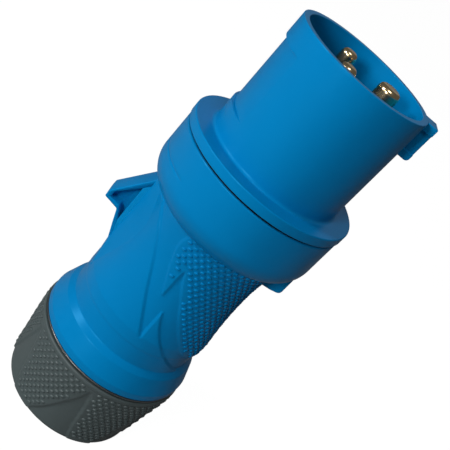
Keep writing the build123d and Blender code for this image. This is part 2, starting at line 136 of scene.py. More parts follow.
# Pins: azimuth, radius, head radius, depth of the tip behind the mouth, in degrees and millimetres
PINS = {"earth_pin": (0, 3.5, 4.7, 0.05), "line_pin": (120, 2.5, 4.2, 1.0), "neutral_pin": (240, 2.5, 4.2, 1.0)}
PIN_CIRCLE = 9.0

# Camera: yaw, pitch and roll in degrees, focal length in millimetres, and its place in metres
CAMERA_TURN, CAMERA_LENS, CAMERA_PLACE = (10.71, 25.64, 43.16), 63.5, (-0.03847, -0.2096, 0.1859)

# Lamps: where they stand from the plug's middle, to the picture's left, to its front and up, and their
# width and height, in metres
LAMPS = {
    "key_lamp": (0.62, 0.34, 0.30, 0.16, 0.24),
    "top_lamp": (0.00, 0.30, 0.80, 0.24, 0.24),
    "front_lamp": (0.30, 0.75, 0.20, 0.16, 0.16),
    "rear_lamp": (0.00, -0.75, 0.36, 0.50, 0.30),
}


class PlugSizes(bpy.types.PropertyGroup):
    """Sizes of the details that the scene adds to the solids."""

    relief_edge: FloatProperty(
        name="Relief edge", description="Width of the ramp at a relief's edge, in millimetres",
        default=0.36, min=0.1, max=2)
    label_step: FloatProperty(
        name="Plate step", description="Height of the smooth plate above the band, in millimetres",
        default=0.58, min=0, max=1)
    pad_step: FloatProperty(
        name="Pad step", description="Height of the grip pad above the band, in millimetres",
        default=0.45, min=0, max=1)
    fin_step: FloatProperty(
        name="Fin step", description="Depth of the nut's sunk fins, in millimetres",
        default=0.5, min=0, max=1)
    dot_height: FloatProperty(
        name="Dot height", description="Height of a grip dot, in millimetres", default=0.42, min=0, max=1)
    dot_length: FloatProperty(
        name="Dot length", description="Length of a grip dot, in millimetres", default=1.75, min=0.2, max=3)
    dot_width: FloatProperty(
        name="Dot width", description="Width of a grip dot, in millimetres", default=1.05, min=0.2, max=3)
    dot_margin: FloatProperty(
        name="Dot margin", description="Distance of the dots from a pad's edge, in millimetres",
        default=1.2, min=0, max=4)
    thread_depth: FloatProperty(
        name="Thread depth", description="Height of the gland thread's crests, in millimetres",
        default=0.6, min=0, max=0.8)
    around: IntProperty(
        name="Steps around", description="Faces round the axis of the housing and the nut",
        default=330, min=48, max=480)


class PlugFinish(bpy.types.PropertyGroup):
    """Colours and light."""

    housing: FloatVectorProperty(
        name="Housing", description="Colour of sleeve and handle", subtype="COLOR", size=4,
        default=(0.0, 0.203, 0.495, 1), min=0, max=1)
    nut: FloatVectorProperty(
        name="Nut", description="Colour of the gland nut", subtype="COLOR", size=4,
        default=(0.072, 0.096, 0.098, 1), min=0, max=1)
    brass: FloatVectorProperty(
        name="Pins", description="Colour of the pins", subtype="COLOR", size=4,
        default=(1.0, 0.78, 0.45, 1), min=0, max=1)
    key_light: FloatProperty(
        name="Key light", description="Power of the large lamp on the left", subtype="POWER", default=2.8, min=0)
    top_light: FloatProperty(
        name="Top light", description="Power of the lamp above", subtype="POWER", default=1.4, min=0)
    front_light: FloatProperty(
        name="Front light", description="Power of the lamp beside the camera", subtype="POWER",
        default=2.9, min=0)
    rear_light: FloatProperty(
        name="Rear light", description="Power of the lamp behind, which end faces mirror", subtype="POWER",
        default=0.08, min=0)
    surround: FloatProperty(
        name="Surround", description="Strength of the even light from all round", default=0.085, min=0, max=1)
    mirrored: FloatProperty(
        name="Mirrored surround", description="Strength of the surround as glossy faces mirror it",
        default=0.08, min=0, max=1)


# Curves

def hermite(x, xs, ys):
    """A cubic between each two given points, whose slope at a point is that of its neighbours."""
    xs, ys = np.asarray(xs, float), np.asarray(ys, float)
    slope = np.gradient(ys, xs)
    k = np.clip(np.searchsorted(xs, x) - 1, 0, len(xs) - 2)
    h = xs[k + 1] - xs[k]
    t = np.clip((x - xs[k]) / h, 0, 1)
    value = (2 * t**3 - 3 * t**2 + 1) * ys[k] + (3 * t**2 - 2 * t**3) * ys[k + 1]
    return value + (t**3 - 2 * t**2 + t) * h * slope[k] + (t**3 - t**2) * h * slope[k + 1]


def rounded(corners, runs, arc=5, closed=True):
    """A path through corners (a, b, round): at each corner an arc that touches both its runs.

    Each run between two arcs is divided evenly, and has a point close to either end so that the shading
    of an arc stays on the arc. runs is the number of parts of each run.
    """
    c = np.asarray(corners, float)
    count = len(c)
    runs = np.broadcast_to(runs, count)
    before, here, after = np.roll(c, 1, 0)[:, :2], c[:, :2], np.roll(c, -1, 0)[:, :2]
    u, v = before - here, after - here
    lu, lv = np.linalg.norm(u, axis=1), np.linalg.norm(v, axis=1)
    u, v = u / lu[:, None], v / lv[:, None]
    half = np.arccos(np.clip((u * v).sum(1), -1, 1)) / 2
    reach = np.minimum(c[:, 2] / np.maximum(np.tan(half), 1e-6), 0.45 * np.minimum(lu, lv))
    if not closed:
        reach[[0, -1]] = 0
    s = np.linspace(0, 1, arc)[:, None, None]
    start, end = here + u * reach[:, None], here + v * reach[:, None]
    arcs = (1 - s) ** 2 * start + 2 * s * (1 - s) * here + s**2 * end
    if not closed:
        arcs[:, 0], arcs[:, -1] = here[0], here[-1]
    pieces = []
    for i in range(count):
        pieces.append(arcs[:, i] if closed or 0 < i < count - 1 else here[i:i + 1])
        if closed or i < count - 1:
            a, b = end[i] if closed or i else here[0], start[(i + 1) % count]
            if not closed and i == count - 2:
                b = here[-1]
            length = np.linalg.norm(b - a)
            guard = min(0.2, length / 4) / max(length, 1e-9)
            t = np.unique(np.concatenate([[guard, 1 - guard], np.arange(1, runs[i]) / runs[i]]))
            pieces.append(a + (b - a) * t[:, None])
    return np.vstack(pieces)


def smooth_step(x):
    """0 below 0, 1 above 1, and a ramp without corners between."""
    t = np.clip(x, 0, 1)
    return t * t * (3 - 2 * t)


def inside_distance(polygon, x, y):
    """Signed distance from points to a polygon's outline, positive inside."""
    p = np.asarray(polygon, float)
    best, inside = np.full(np.shape(x), 1e9), np.zeros(np.shape(x), bool)
    for (ax, ay), (bx, by) in zip(p, np.roll(p, -1, 0)):
        dx, dy = bx - ax, by - ay
        t = np.clip(((x - ax) * dx + (y - ay) * dy) / (dx * dx + dy * dy), 0, 1)
        best = np.minimum(best, np.hypot(x - ax - t * dx, y - ay - t * dy))
        if ay != by:
            inside ^= ((ay > y) != (by > y)) & (x < (bx - ax) * (y - ay) / (by - ay) + ax)
    return np.where(inside, best, -best)


# Meshes

def skin(rows, wrap=False):
    """Vertices and faces over a grid of closed loops: row m, point n.

    With wrap the last row joins the first. Otherwise a fan of triangles closes each end.
    """
    m, n = rows.shape[:2]
    index = np.arange(m * n).reshape(m, n)
    nxt = np.roll(index, -1, 1)
    if wrap:
        up, upn = np.roll(index, -1, 0), np.roll(nxt, -1, 0)
        return rows.reshape(-1, 3), [np.stack([index, nxt, upn, up], -1).reshape(-1, 4)]
    quads = np.stack([index[:-1], nxt[:-1], nxt[1:], index[1:]], -1).reshape(-1, 4)
    vertices = np.vstack([rows.reshape(-1, 3), rows[0].mean(0), rows[-1].mean(0)])
    first = np.stack([nxt[0], index[0], np.full(n, m * n)], -1)
    last = np.stack([index[-1], nxt[-1], np.full(n, m * n + 1)], -1)
    return vertices, [quads, first, last]


def joined(parts):
    """Several (vertices, faces) as one."""
    vertices, faces, base = [], [], 0
    for v, fs in parts:
        vertices.append(v)
        faces += [f + base for f in fs]
        base += len(v)
    return np.vstack(vertices), faces


def outward(vertices, faces):
    """The same faces, turned over if the volume they enclose comes out negative."""
    volume = 0.0
    for f in faces:
        a = vertices[f[:, 0]]
        for k in range(1, f.shape[1] - 1):
            b, c = vertices[f[:, k]], vertices[f[:, k + 1]]
            volume += np.einsum("ij,ij->", a, np.cross(b, c))
    return faces if volume > 0 else [f[:, ::-1] for f in faces]


def make_piece(name, body, material, parts, replaced=(), sharp=None):
    """Puts vertices in millimetres and faces into one mesh, which rides on a CAD body."""
    vertices, faces = joined([(v, outward(v, f)) for v, f in parts])
    if not np.isfinite(vertices).all():
        raise RuntimeError(f"{name} has a point that is not a number")
    mesh = bpy.data.meshes.new(name)
    mesh.vertices.add(len(vertices))
    mesh.vertices.foreach_set("co", (vertices * MM).astype(np.float32).ravel())
    sizes = np.concatenate([np.full(len(f), f.shape[1]) for f in faces])
    corners = np.concatenate([f.ravel() for f in faces]).astype(np.int32)
    mesh.loops.add(len(corners))
    mesh.loops.foreach_set("vertex_index", corners)
    mesh.polygons.add(len(sizes))
    mesh.polygons.foreach_set("loop_start", (np.cumsum(sizes) - sizes).astype(np.int32))
    mesh.update(calc_edges=True)
    mesh.validate()
    mesh.shade_smooth()
    if sharp is not None:
        mesh.set_sharp_from_angle(angle=math.radians(sharp))
    mesh.materials.append(material)
    obj = bpy.data.objects.new(name, mesh)
    bpy.context.scene.collection.objects.link(obj)
    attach(obj, body)
    if replaced:
        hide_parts(*replaced)
    return obj


def turned(path, radius, around):
    """Rows of a surface of revolution: a path of (radius, height) points carried round the axis.

    radius(azimuth, r, z, k) gives the radius at each azimuth for path point k.
    """
    angle = np.arange(around) * 2 * np.pi / around
    az, r = np.meshgrid(angle, path[:, 0])
    z = np.broadcast_to(path[:, 1][:, None], r.shape)
    k = np.broadcast_to(np.arange(len(path))[:, None], r.shape)
    r = radius(az, r, z, k)
    return np.stack([r * np.cos(az), r * np.sin(az), z], -1)


def from_key(az):
    """Azimuth from the key in degrees, the same on both sides: 0 at the key, 180 at the lug."""
    return np.abs((np.degrees(az) + 180) % 360 - 180)


# The grip's form

def arc_rise(run, length, rise):
    """Height of an arc over a run: it starts level and has climbed by rise after the length."""
    bend = (rise**2 + length**2) / (2 * rise)
    return bend - np.sqrt(bend**2 - np.clip(run, 0, length) ** 2)


def grip_radius(z):
    """Radius of the grip without its relief: an arc from neck to waist and one from waist to barrel."""
    grip = WAIST_R + arc_rise(z - WAIST_Z, 12.3, 1.3) + arc_rise(WAIST_Z - z, 22.9, 1.8)
    return np.where(z < 45, np.minimum(grip, BARREL_R), grip)


def ridge_radius(a, z):
    """The ridge under the lug: a flat top, and flanks that are planes touching the waist."""
    off = np.radians(180 - a)
    top = np.where(z > 47, np.interp(z, *RIDGE_TOP), 0) / np.cos(np.minimum(off, 1))
    flank = FLANK_R / np.cos(np.clip(FLANK_TURN - off, 0, 1))
    return np.where(off < FLANK_TURN, np.minimum(top, flank), 0)


def relief_height(a, z, sizes):
    """Height of plate and pad above the band: each polygon's signed distance, through a smooth ramp."""
    s = a * np.pi / 180 * RELIEF_R
    edge = sizes.relief_edge
    scale = np.array([np.pi / 180 * RELIEF_R, 1])
    label = inside_distance(np.array(LABEL_PLATE) * scale, s, z)
    pad = inside_distance(np.array(GRIP_PAD) * scale, s, z)
    ramps = smooth_step(label / edge + 0.5) * sizes.label_step, smooth_step(pad / edge + 0.5) * sizes.pad_step
    return ramps[0] + ramps[1], pad


def housing_path():
    """The handle's closed outline: down inside the spigot, up over foot, grip and collar, down inside."""
    bottom = rounded([
        (17.6, 21.8, 0), (17.6, SPIGOT_END, 0.3), (SPIGOT_R, SPIGOT_END, 0.6), (SPIGOT_R, FOOT, 0.15),
        (26.15, FOOT, 0.8), (26.15, FOOT + 1.1, 0)], [1, 1, 22, 1, 1, 1], closed=False)
    z = np.arange(40.6, 83.9, 0.38)
    foot = rounded([
        (26.15, FOOT + 1.2, 0), (26.15, 31.0, 1.1), (24.15, 36.8, 0.9), (22.02, 39.3, 1.0), (22, 40.3, 0)],
        [2, 8, 8, 3, 1], arc=7, closed=False)
    grip = np.vstack([foot, np.stack([grip_radius(z), z], 1)])
    t = np.radians(np.linspace(-74.5, 0, 18))
    bend = 8.45
    shoulder = np.stack([COLLAR_R - bend + bend * np.cos(t), 92.5 + bend * np.sin(t)], 1)
    shoulder = np.vstack([shoulder, [(COLLAR_R, z) for z in (93.2, 94.4, 94.9, 95.1, 95.2, 95.3, 95.5)]])
    top = rounded([
        (COLLAR_R, 96.0, 0), (COLLAR_R, COLLAR_TOP, 0.35), (24.9, COLLAR_TOP, 0.3), (24.9, 90.5, 0.5),
        (18.3, 84.3, 1), (18.3, 34.4, 1), (15.5, FOOT, 0.5), (15.5, 22, 0.15), (17.6, 22, 0.05)],
        [3, 1, 2, 1, 1, 1, 1, 1, 1], arc=3, closed=False)
    path = np.vstack([bottom, grip, shoulder, top])
    first, last = len(bottom), len(bottom) + len(grip) + len(shoulder)
    return path, first, last


def thread(az, z, low, high, phase):
    """Crest of a right-hand thread: a flattened wave that rises with the azimuth, faded at both ends."""
    wave = np.clip(0.35 + 1.3 * np.cos(2 * np.pi * (z / THREAD_PITCH - az / (2 * np.pi) + phase)), 0, 1)
    return wave * smooth_step((z - low) / 1.5) * smooth_step((high - z) / 1.5)


def prism(outline, half_width, edge, pocket=None, depth=0.0):
    """A slab across the plane of the key: an outline (x, z) carried along y, its edges rounded.

    A pocket is a second loop of as many points, sunk to a depth in both side faces.
    """
    centre = outline.mean(0)
    along = np.roll(outline, -1, 0) - np.roll(outline, 1, 0)
    normal = np.stack([along[:, 1], -along[:, 0]], 1) / np.linalg.norm(along, axis=1)[:, None]
    if ((outline - centre) * normal).sum() < 0:
        normal = -normal
    t = np.radians(np.linspace(0, 90, 5))
    inset, shift = edge * (1 - np.sin(t)), edge * (1 - np.cos(t))
    rows = []
    if pocket is not None:
        lip = pocket + (pocket - pocket.mean(0)) * 0.035
        rows += [(pocket, half_width - depth), (pocket, half_width - 0.25), (lip, half_width)]
        rows += [(outline - normal * (edge + 0.15), half_width)]
    rows += [(outline - normal * d, half_width - s) for d, s in zip(inset, shift)]
    near = np.stack([np.stack([p[:, 0], np.full(len(p), -y), p[:, 1]], 1) for p, y in rows])
    far = near[::-1] * np.array([1, -1, 1])
    return skin(np.vstack([near, far]))


# Materials

def node(tree, kind, **values):
    """A shader node with its plain sockets and properties set."""
    made = tree.nodes.new(kind)
    for key, value in values.items():
        if key in made.inputs:
            made.inputs[key].default_value = value
        else:
            setattr(made, key, value)
    return made


def plastic(name, colour, roughness, grain, depth, shine=0.5, tint=(1, 1, 1, 1), ior=1.5):
    """Moulded plastic: fine eroded grain as bump, a broad unevenness of shade and of gloss."""
    mat = bpy.data.materials.new(name)
    mat.use_nodes = True
    tree = mat.node_tree
    shader = tree.nodes["Principled BSDF"]
    shader.inputs["Specular IOR Level"].default_value = shine
    shader.inputs["Specular Tint"].default_value = tint
    shader.inputs["IOR"].default_value = ior
    place = node(tree, "ShaderNodeTexCoord")
    fine = node(tree, "ShaderNodeTexNoise", Scale=1 / grain, Detail=3.0, Roughness=0.6)
    broad = node(tree, "ShaderNodeTexNoise", Scale=55.0, Detail=2.0, Roughness=0.5)
    bump = node(tree, "ShaderNodeBump", Strength=0.35, Distance=depth)
    shade = node(tree, "ShaderNodeMix", data_type="RGBA")
    shade.inputs[6].default_value = [c * 0.95 for c in colour[:3]] + [1]
    shade.inputs[7].default_value = [min(c * 1.05, 1) for c in colour[:3]] + [1]
    gloss = node(tree, "ShaderNodeMapRange")
    gloss.inputs["From Min"].default_value = 0.3
    gloss.inputs["From Max"].default_value = 0.7
    gloss.inputs["To Min"].default_value = roughness - 0.03
    gloss.inputs["To Max"].default_value = roughness + 0.04
    link = tree.links.new
    link(place.outputs["Object"], fine.inputs["Vector"])
    link(place.outputs["Object"], broad.inputs["Vector"])
    link(fine.outputs["Fac"], bump.inputs["Height"])
    link(broad.outputs["Fac"], shade.inputs[0])
    link(fine.outputs["Fac"], gloss.inputs["Value"])
    link(shade.outputs[2], shader.inputs["Base Color"])
    link(gloss.outputs["Result"], shader.inputs["Roughness"])
    link(bump.outputs["Normal"], shader.inputs["Normal"])
    return mat


def metal(name, colour, roughness, turning):
    """Turned metal: fine rings along Z as bump, and small blotches of gloss."""
    mat = bpy.data.materials.new(name)
    mat.use_nodes = True
    tree = mat.node_tree
    shader = tree.nodes["Principled BSDF"]
    shader.inputs["Metallic"].default_value = 1.0
    place = node(tree, "ShaderNodeTexCoord")
    stretch = node(tree, "ShaderNodeMapping")
    stretch.inputs["Scale"].default_value = (200, 200, 9000)
    rings = node(tree, "ShaderNodeTexNoise", Scale=1.0, Detail=2.0)
    blotch = node(tree, "ShaderNodeTexNoise", Scale=420.0, Detail=3.0)
    bump = node(tree, "ShaderNodeBump", Strength=turning, Distance=0.00002)
    shade = node(tree, "ShaderNodeMix", data_type="RGBA")
    shade.inputs[6].default_value = [c * 0.86 for c in colour[:3]] + [1]
    shade.inputs[7].default_value = list(colour[:3]) + [1]
    gloss = node(tree, "ShaderNodeMapRange")
    gloss.inputs["To Min"].default_value = roughness * 0.7
    gloss.inputs["To Max"].default_value = roughness * 1.4
    link = tree.links.new
    link(place.outputs["Object"], stretch.inputs["Vector"])
    link(stretch.outputs["Vector"], rings.inputs["Vector"])
    link(place.outputs["Object"], blotch.inputs["Vector"])
    link(rings.outputs["Fac"], bump.inputs["Height"])
    link(blotch.outputs["Fac"], shade.inputs[0])
    link(blotch.outputs["Fac"], gloss.inputs["Value"])
    link(shade.outputs[2], shader.inputs["Base Color"])
    link(gloss.outputs["Result"], shader.inputs["Roughness"])
    link(bump.outputs["Normal"], shader.inputs["Normal"])
    return mat


def finish_of(name):
    """The material of that name, made on first use."""
    if name in bpy.data.materials:
        return bpy.data.materials[name]
    look = bpy.context.scene.plug_finish
    makers = {
        "satin_blue": lambda: plastic(name, look.housing, 0.3, 0.00022, 0.00002, 0.3, (0.1, 0.6, 1, 1)),
        "anthracite": lambda: plastic(name, look.nut, 0.4, 0.0002, 0.00004, 0.4),
        "carrier_grey": lambda: plastic(name, (0.03, 0.035, 0.04, 1), 0.5, 0.0003, 0.00003),
        "natural_polyamide": lambda: plastic(name, (0.55, 0.54, 0.5, 1), 0.45, 0.0003, 0.00003),
        "black_rubber": lambda: plastic(name, (0.004, 0.004, 0.004, 1), 0.5, 0.0003, 0.00001, 0.1),
        "glossy_rubber": lambda: plastic(name, (0.012, 0.012, 0.012, 1), 0.3, 0.0004, 0.000004, 1.0, ior=1.9),
        "polished_brass": lambda: metal(name, look.brass, 0.22, 0.1),
        "zinc_steel": lambda: metal(name, (0.6, 0.6, 0.6, 1), 0.32, 0.3),
    }
    return makers[name]()


# Operators

class PLUG_OT_housing(bpy.types.Operator):
    """Handle: turned grip with stepped relief on both sides, a collar, the gland thread, a lug and a fin."""

    bl_idname = "plug.housing"
    bl_label = "Housing"

    def execute(self, context):
        sizes = context.scene.plug_sizes
        path, first, last = housing_path()

        def radius(az, r, z, k):
            on_grip = (k >= first) & (k < last)
            height, _ = relief_height(from_key(az), z, sizes)
            ground = np.where(z > NECK_Z, NECK_R, np.where(z < BARREL_Z, BARREL_R, r))
            ridge = np.where(z < RIDGE_END, ridge_radius(from_key(az), z), 0)
            raised = np.maximum(np.maximum(r, ground + height), ridge)
            on_spigot = (k < first) & (np.abs(r - SPIGOT_R) < 1e-6)
            crest = thread(az, z, 12.0, 26.5, 0.0) * sizes.thread_depth
            groove = smooth_step(1 - np.abs(z - GROOVE_Z) / GROOVE_HALF)
            groove *= smooth_step((from_key(az) - GROOVE_FROM) / 6)
            return np.where(on_grip, raised - GROOVE_DEPTH * groove, np.where(on_spigot, r + crest, r))

        shell = skin(turned(path, radius, sizes.around), wrap=True)
        lug = prism(rounded(LUG, 3, arc=6), 4.0, 0.3, rounded(LUG_POCKET, 3, arc=6), 3.0)
        fin = prism(rounded(FIN, 3, arc=6), 3.0, 0.35)
        make_piece("handle_housing", "plug", finish_of("satin_blue"), [shell, lug, fin],
                   ["handle"])
        return {"FINISHED"}


class PLUG_OT_sleeve(bpy.types.Operator):
    """Sleeve with its flange and skirt, the recess for a lid's catch, and the key."""

    bl_idname = "plug.sleeve"
    bl_label = "Sleeve"

    def execute(self, context):
        path = rounded([
            (18.4, FLANGE_FRONT - 1, 0.15), (18.4, FLANGE_FRONT - 2.5, 0.1), (22.6, FLANGE_FRONT - 2.5, 0.1),
            (22.6, SKIRT_END, 0.2), (24.6, SKIRT_END, 0.3), (24.6, SEAL_TOP, 0.2), (FLANGE_R, SEAL_TOP, 0.3),
            (FLANGE_R, FLANGE_FRONT, 0.35), (SLEEVE_R, FLANGE_FRONT, 1.0), (SLEEVE_R, MOUTH, 0.22),
            (SLEEVE_BORE, MOUTH, 0.22), (SLEEVE_BORE, FLANGE_FRONT - 1, 0.5)],
            [1, 2, 5, 1, 5, 2, 1, 3, 1, 2, 14, 1])
        outer = np.flatnonzero(np.abs(path[:, 0] - SLEEVE_R) < 1e-6)
        low, high = path[outer[[0, -1]], 1]
        recess = [116.1, 116.3, 116.5, 138.6, 138.8]
        heights = np.sort(np.concatenate([np.arange(low + 0.4, high - 0.3, 0.7), recess]))
        column = np.stack([np.full(len(heights), SLEEVE_R), heights], 1)
        path = np.vstack([path[:outer[0] + 1], column, path[outer[-1]:]])
        floor, half_angle = SLEEVE_R - 0.8, math.radians(40)
        shift = (SLEEVE_R**2 - floor**2) / (2 * (floor - SLEEVE_R * math.cos(half_angle)))
        bow = floor + shift

        def radius(az, r, z, k):
            off = az - np.pi
            sunk = shift * np.cos(off) * -1 + np.sqrt(bow**2 - (shift * np.sin(off)) ** 2)
            sunk = np.where(np.abs(off) < half_angle, np.minimum(sunk, SLEEVE_R), SLEEVE_R)
            share = np.interp(z, recess, [0, 1.4, 1, 1, 0])
            outer = r > SLEEVE_R - 0.01
            return np.where(outer & (r < SLEEVE_R + 0.01), r - (SLEEVE_R - sunk) * share, r)

        shell = skin(turned(path, radius, 360), wrap=True)
        heel, low, high = 1.3, MOUTH - 12.0, MOUTH - 0.02
        z = np.concatenate([
            low + heel * (1 - np.cos(np.radians(np.linspace(8, 90, 8)))),
            [low + 2.2, low + 2.42, low + 2.58, low + 2.8, low + 6, high - 2.8, high - 2.58, high - 2.42,
             high - 2.2, high - 0.5, high - 0.25, high - 0.12, high]])
        reach = 25.4 - heel + np.sqrt(np.maximum(heel**2 - np.maximum(low + heel - z, 0) ** 2, 0))
        reach -= np.interp(z, [high - 0.12, high], [0, 0.1])
        half = 3.0 - 0.5 * smooth_step((z - low - 2.42) / 0.16) * smooth_step((high - 2.42 - z) / 0.16)
        half -= np.interp(z, [high - 0.12, high], [0, 0.1])
        half -= np.interp(z, [low, low + 0.1, low + 0.3], [0.25, 0.08, 0])
        loop = rounded([(0, -1, 0.001), (1, -1, 0.05), (1, 1, 0.05), (0, 1, 0.001)], [2, 3, 2, 1])
        x = 21.0 + (reach[:, None] - 21.0) * loop[None, :, 0]
        y = half[:, None] * loop[None, :, 1]
        key = skin(np.stack([x, y, np.broadcast_to(z[:, None], x.shape)], -1))
        make_piece("sleeve_shell", "plug", finish_of("satin_blue"), [shell, key], ["shroud"],
                   sharp=50)
        return {"FINISHED"}


def nut_radius(z):
    """Radius of the nut's outside: nearly a cone, a little bulged, wider at its front."""
    return hermite(z, [-1, 2, 6, 9.4, 13.5, 17.5, 21.5, 24.8, 27.1, 29],
                   [23.75, 23.95, 24.3, 24.62, 25.1, 25.55, 25.95, 26.25, 26.5, 26.7])


def nut_relief(az, z, sizes):
    """Depth of the six fins, and the distance of a point from the nearest one's edge in millimetres."""
    turn = (np.degrees(az) - NUT_FIN_FIRST + 30) % 60 - 30
    inside = inside_distance(NUT_FIN, turn * np.pi / 180 * NUT_FIN_R, z)
    return smooth_step(inside / sizes.relief_edge + 0.5) * sizes.fin_step, -inside


class PLUG_OT_nut(bpy.types.Operator):
    """Gland nut: a bulged cone with six sunk fins, a rounded rear edge, a rim in front and the thread."""

    bl_idname = "plug.nut"
    bl_label = "Gland nut"

    def execute(self, context):
        sizes = context.scene.plug_sizes
        z = np.concatenate([np.arange(2.2, 25.4, 0.3), [25.5]])
        wall = np.stack([nut_radius(z), z], 1)
        rear = rounded([
            (9.5, 4.4, 0), (9.5, 0, 0.4), (nut_radius(np.array([0.0]))[0], 0, 2.0), (wall[0, 0], 2.1, 0)],
            [3, 12, 2, 1], arc=7, closed=False)
        front = rounded([
            (nut_radius(np.array([25.7]))[0], 25.7, 0), (26.55, 26.0, 0.3), (26.55, NUT_FRONT, 0.45),
            (NUT_BORE, NUT_FRONT, 0.3), (NUT_BORE, 9.8, 0.2), (19.0, 9.8, 0.4), (19.0, 4.6, 0.4), (9.5, 4.6, 0)],
            [1, 2, 3, 44, 2, 3, 4, 1], closed=False)
        path = np.vstack([rear, wall, front])
        first, last = len(rear), len(rear) + len(wall)

        def radius(az, r, z, k):
            depth, _ = nut_relief(az, z, sizes)
            share = smooth_step((25.0 - z) / 1.0 + 0.5)
            low = (k >= first - 9) & (k < last) & (r > 20)
            in_bore = (k >= last) & (np.abs(r - NUT_BORE) < 1e-6)
            crest = thread(az, z, 10.2, 25.6, 0.5) * sizes.thread_depth
            return np.where(low, r - depth * share, np.where(in_bore, r - crest, r))

        shell = skin(turned(path, radius, sizes.around), wrap=True)
        make_piece("gland_nut_shell", "nut", finish_of("anthracite"), [shell], ["gland_nut"])
        return {"FINISHED"}


def domes(centre, normal, along, sizes):
    """Oblong domes: three rings and a top point each, closed below the surface they stand on."""
    across = np.cross(normal, along)
    ring = np.arange(10) * np.pi / 5
    rise = np.radians([-30, 0, 35, 65])
    shape = np.stack([
        np.outer(np.cos(rise), np.cos(ring)) * sizes.dot_length / 2,
        np.outer(np.cos(rise), np.sin(ring)) * sizes.dot_width / 2,
        np.repeat(np.sin(rise) * sizes.dot_height, 10).reshape(4, 10)], -1).reshape(-1, 3)
    shape = np.vstack([shape, [0, 0, -sizes.dot_height / 2], [0, 0, sizes.dot_height]])
    axes = np.stack([along, across, normal], 1)
    points = centre[:, None, :] + np.einsum("kc,ncd->nkd", shape, axes)
    index = np.arange(40).reshape(4, 10)
    nxt = np.roll(index, -1, 1)
    quads = np.stack([index[:-1], nxt[:-1], nxt[1:], index[1:]], -1).reshape(-1, 4)
    low = np.stack([nxt[0], index[0], np.full(10, 40)], -1)
    top = np.stack([index[-1], nxt[-1], np.full(10, 41)], -1)
    base = (np.arange(len(centre)) * 42)[:, None, None]
    return points.reshape(-1, 3), [(f[None] + base).reshape(-1, f.shape[1]) for f in (quads, low, top)]


def on_wall(az, z, r, slope, lean):
    """Frames on a turned wall: centre, normal, and a direction round the axis that leans up by an angle."""
    out = np.stack([np.cos(az), np.sin(az), np.zeros_like(az)], -1)
    around = np.stack([-np.sin(az), np.cos(az), np.zeros_like(az)], -1)
    normal = out - slope[:, None] * np.array([0, 0, 1])
    normal /= np.linalg.norm(normal, axis=1)[:, None]
    up = np.cross(normal, around)
    along = around * np.cos(lean)[:, None] + up * np.sin(lean)[:, None]
    centre = out * r[:, None] + np.stack([0 * z, 0 * z, z], -1)
    return centre, normal, along


class PLUG_OT_grip_dots(bpy.types.Operator):
    """Staggered rows of oblong grip dots on the handle's pad and on the nut's six faces."""

    bl_idname = "plug.grip_dots"
    bl_label = "Grip dots"

    def execute(self, context):
        sizes = context.scene.plug_sizes
        row, column = np.meshgrid(np.arange(36), np.arange(-2, 24), indexing="ij")
        first_row, row_gap, column_gap = PAD_DOTS
        z = (first_row - row_gap * row + 0.02 * column_gap * column).ravel()
        a = (column_gap * (column - 0.5 + 0.5 * (row % 2))).ravel()
        height, pad = relief_height(a, z, sizes)
        keep = (pad > sizes.dot_margin) & (a > 0) & (z < 86.5)
        z, a, height = z[keep], a[keep], height[keep]
        z, az = np.tile(z, 2), np.radians(np.concatenate([a, -a]))
        lean = np.radians(np.concatenate([np.full(len(a), -14.0), np.full(len(a), 14.0)]))
        r = grip_radius(z) + np.tile(height, 2)
        slope = (grip_radius(z + 0.1) - grip_radius(z - 0.1)) / 0.2
        make_piece("handle_grip_dots", "plug", finish_of("satin_blue"),
                   [domes(*on_wall(az, z, r, slope, lean), sizes)])
        row, column = np.meshgrid(np.arange(16), np.arange(12), indexing="ij")
        first_row, row_gap, column_gap = NUT_DOTS
        z = (first_row - row_gap * row).ravel()
        turn = (-29.0 + column_gap * (column + 0.5 * (row % 2))).ravel()
        az = np.radians(NUT_FIN_FIRST + 30 + turn)
        gap = nut_relief(az, z, sizes)[1]
        keep = (gap > 1.5) & (z > 2.6) & (np.abs(turn) < 29.9)
        z, az = np.tile(z[keep], NUT_FINS), (az[keep][None] + np.arange(NUT_FINS)[:, None] * np.pi / 3).ravel()
        slope = (nut_radius(z + 0.1) - nut_radius(z - 0.1)) / 0.2
        make_piece("nut_grip_dots", "nut", finish_of("anthracite"),
                   [domes(*on_wall(az, z, nut_radius(z), slope, np.full(len(z), 0.25)), sizes)])
        return {"FINISHED"}


class PLUG_OT_pins(bpy.types.Operator):
    """Three turned brass pins with rounded tips, each with its bored terminal head."""

    bl_idname = "plug.pins"
    bl_label = "Pins"

    def execute(self, context):
        seat = FLANGE_FRONT - 0.4
        for name, (angle, r, head, inset) in PINS.items():
            tip, low = MOUTH - inset, foot_of(name)
            bend = np.radians(np.linspace(0, 90, 12))
            dome = np.stack([r - 1.5 + 1.5 * np.sin(bend), tip - 1.5 + 1.5 * np.cos(bend)], 1)
            shank = rounded([
                (r, tip - 1.6, 0), (r, seat, 0.1), (r + 0.5, seat, 0.1), (r + 0.5, low + 13.2, 0.1),
                (head, low + 13.2, 0.3), (head, low, 0.3), (1.9, low, 0.2), (1.9, low + 9.0, 0.2),
                (0.001, low + 9.0, 0)], [12, 1, 2, 1, 2, 1, 2, 1, 1], closed=False)
            path = np.vstack([[[0.001, tip], [0.5 * (r - 1.5), tip]], dome, shank])[::-1]
            centre = np.array([math.cos(math.radians(angle)), math.sin(math.radians(angle)), 0]) * PIN_CIRCLE
            rows = turned(path, lambda az, r, z, k: r, 48) + centre
            make_piece(f"{name}_turned", "plug", finish_of("polished_brass"), [skin(rows)], [name])
        return {"FINISHED"}


